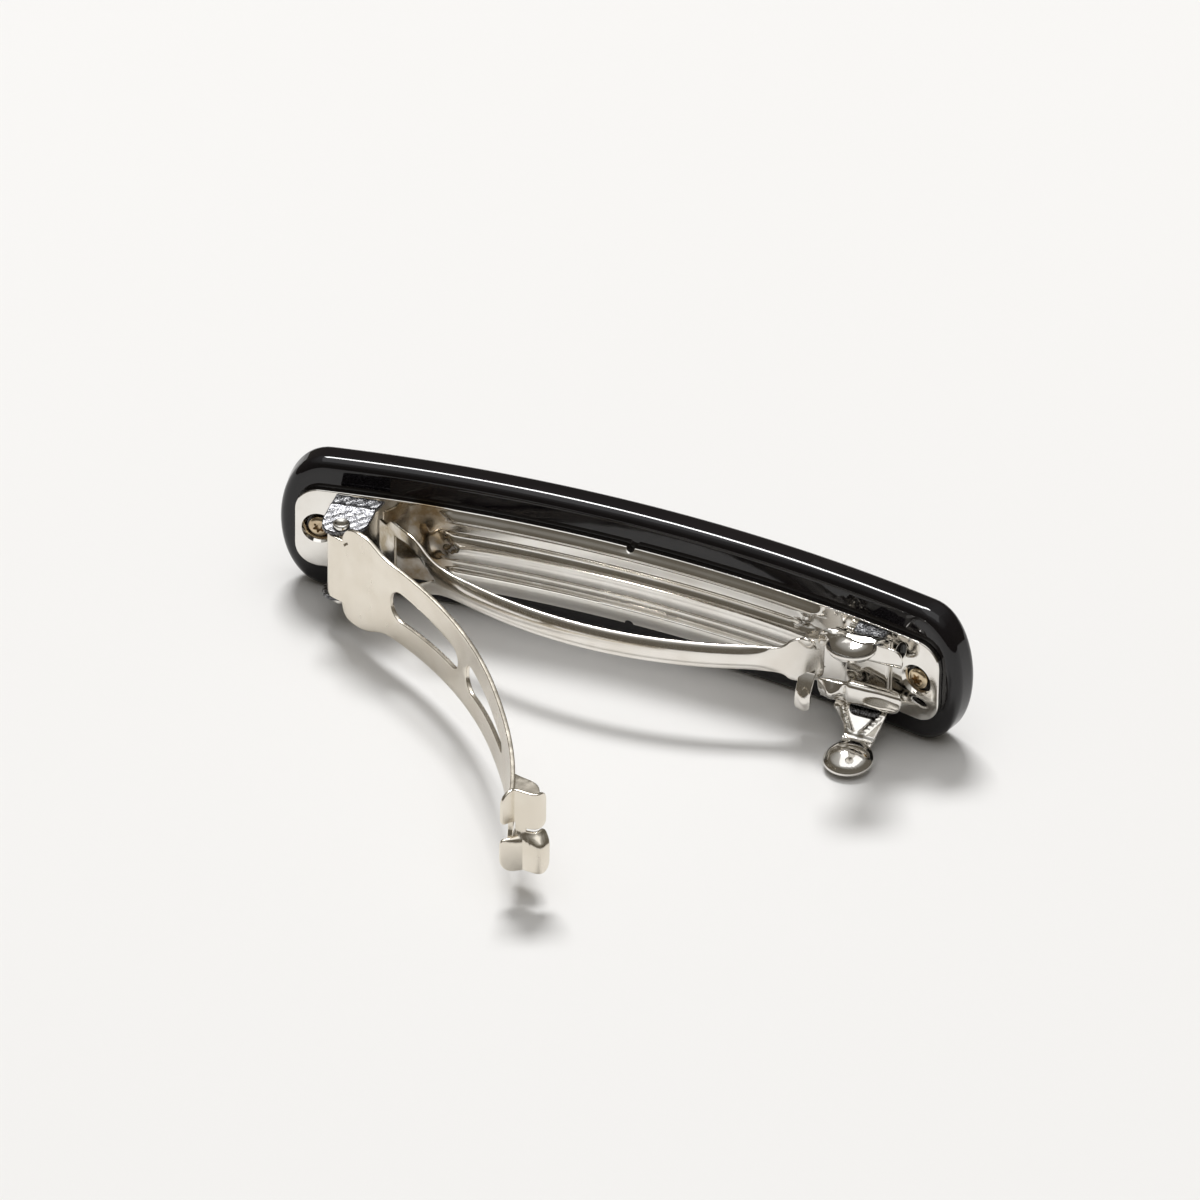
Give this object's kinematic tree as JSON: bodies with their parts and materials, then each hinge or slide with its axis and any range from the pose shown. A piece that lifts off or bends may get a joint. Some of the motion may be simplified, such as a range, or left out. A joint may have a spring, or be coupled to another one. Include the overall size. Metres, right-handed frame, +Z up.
{
  "type": "french barrette",
  "caption": "French barrette: bowed glossy bar with a stamped steel clasp, sprung curved arm on a hinge and a pinch catch with finger pads.",
  "frame": {"origin": "middle of the bar's flat lower edge, on which the part stands", "axes": "+X along the bar from the hinge end to the catch end, -Y towards the hair (clasp side), +Z up across the bar's width"},
  "size_m": [0.085, 0.0578, 0.0174],
  "materials": {
    "acetate": "polished, near black",
    "nickel": "bright nickel plate on stamped steel",
    "satin_nickel": "satin nickel plate",
    "brassy_screw": "worn nickel over brassy steel"
  },
  "bodies": {
    "base": {"decorative_bar": "acetate", "base_plate": "nickel", "hinge_pin": "nickel", "tension_spring": "nickel", "catch_saddle": "nickel", "screw_left": "brassy_screw", "screw_right": "brassy_screw"},
    "arm": {"clasp_arm": "satin_nickel"},
    "lever_upper": {"catch_lever_upper": "nickel"},
    "lever_lower": {"catch_lever_lower": "nickel"}
  },
  "joints": [
    {"name": "arm_hinge", "type": "hinge", "parent": "base", "child": "arm", "pos_m": [-0.0318, -0.01192, 0.0087], "axis": [0, 0, 1], "range_deg": [-12, 44], "deforming": ["tension_spring"]},
    {"name": "upper_lever_pinch", "type": "hinge", "parent": "base", "child": "lever_upper", "pos_m": [0.0307, -0.00673, 0.01345], "axis": [1, 0, 0], "range_deg": [0, 8], "stiffness_Nm_per_rad": 0.05},
    {"name": "lower_lever_pinch", "type": "hinge", "parent": "base", "child": "lever_lower", "pos_m": [0.0307, -0.00673, 0.00395], "axis": [1, 0, 0], "range_deg": [-8, 0], "stiffness_Nm_per_rad": 0.05}
  ],
  "couplings": [
    {"joint": "lower_lever_pinch", "follows": "upper_lever_pinch", "ratio": -1}
  ]
}
